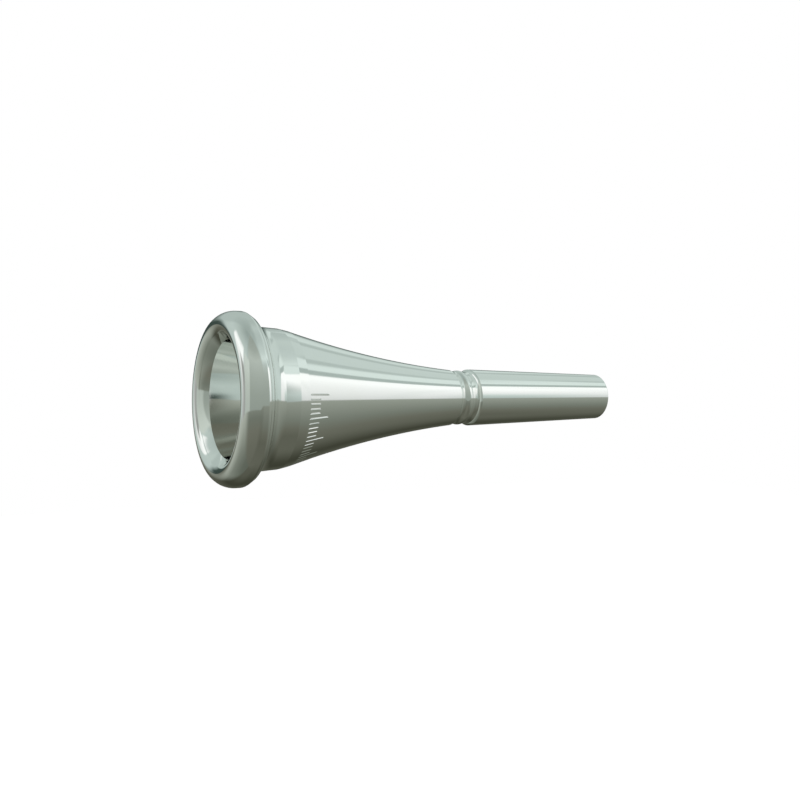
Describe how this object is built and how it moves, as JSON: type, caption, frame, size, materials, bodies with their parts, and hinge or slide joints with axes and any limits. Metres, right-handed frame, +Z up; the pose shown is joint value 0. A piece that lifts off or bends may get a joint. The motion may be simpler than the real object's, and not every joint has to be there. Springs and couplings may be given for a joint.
{
  "type": "brass instrument mouthpiece",
  "caption": "Turned horn mouthpiece: rounded rim, funnel cup, narrow throat, hollow-tapered body with grooves and bead, tapered shank.",
  "frame": {"origin": "centre of the shank's end face, where the mouthpiece enters the horn", "axes": "+X along the mouthpiece's axis, out of the shank towards the horn; the rim faces -X; +Z up"},
  "size_m": [0.0674, 0.0244, 0.0244],
  "materials": {
    "brass": "machined",
    "silver_plate": "polished"
  },
  "bodies": {
    "root": {"brass_body": "brass", "silver_plating": "silver_plate"}
  },
  "joints": []
}
